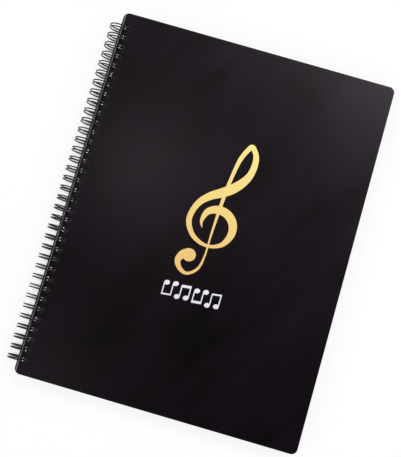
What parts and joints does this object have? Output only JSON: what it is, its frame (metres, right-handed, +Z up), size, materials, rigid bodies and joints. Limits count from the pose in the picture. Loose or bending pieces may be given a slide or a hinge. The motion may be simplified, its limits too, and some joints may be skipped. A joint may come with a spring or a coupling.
{
  "type": "music folder",
  "caption": "Wire-bound folder with black covers, clear pocket pages and a treble clef over a row of notes.",
  "frame": {"origin": "centre of the bounding box at the surface that the closed folder lies on", "axes": "+X across the cover from the spine to the fore edge, +Y up the page along the spine, +Z up out of the front cover"},
  "size_m": [0.2464, 0.314, 0.0163],
  "materials": {
    "cover_sheet": "fine-grained satin black polypropylene sheet",
    "clear_film": "stacked clear polypropylene pockets, cut edges",
    "enamelled_wire": "glossy black coated steel wire",
    "gold_foil": "hot-stamped gold foil",
    "silver_foil": "hot-stamped silver foil"
  },
  "bodies": {
    "pages": {"pocket_pages": "clear_film"},
    "front": {"front_cover": "cover_sheet", "treble_clef": "gold_foil", "beamed_notes_1": "silver_foil", "beamed_notes_2": "silver_foil", "beamed_notes_3": "silver_foil", "beamed_notes_4": "silver_foil"},
    "back": {"back_cover": "cover_sheet", "binding_wire": "enamelled_wire"}
  },
  "joints": [
    {"name": "front_cover_turn", "type": "hinge", "parent": "pages", "child": "front", "pos_m": [-0.1149, 0, 0.00834], "axis": [0, -1, 0], "range_deg": [0, 180]},
    {"name": "back_cover_turn", "type": "hinge", "parent": "pages", "child": "back", "pos_m": [-0.1149, 0, 0.00834], "axis": [0, -1, 0], "range_deg": [-180, 0]}
  ]
}
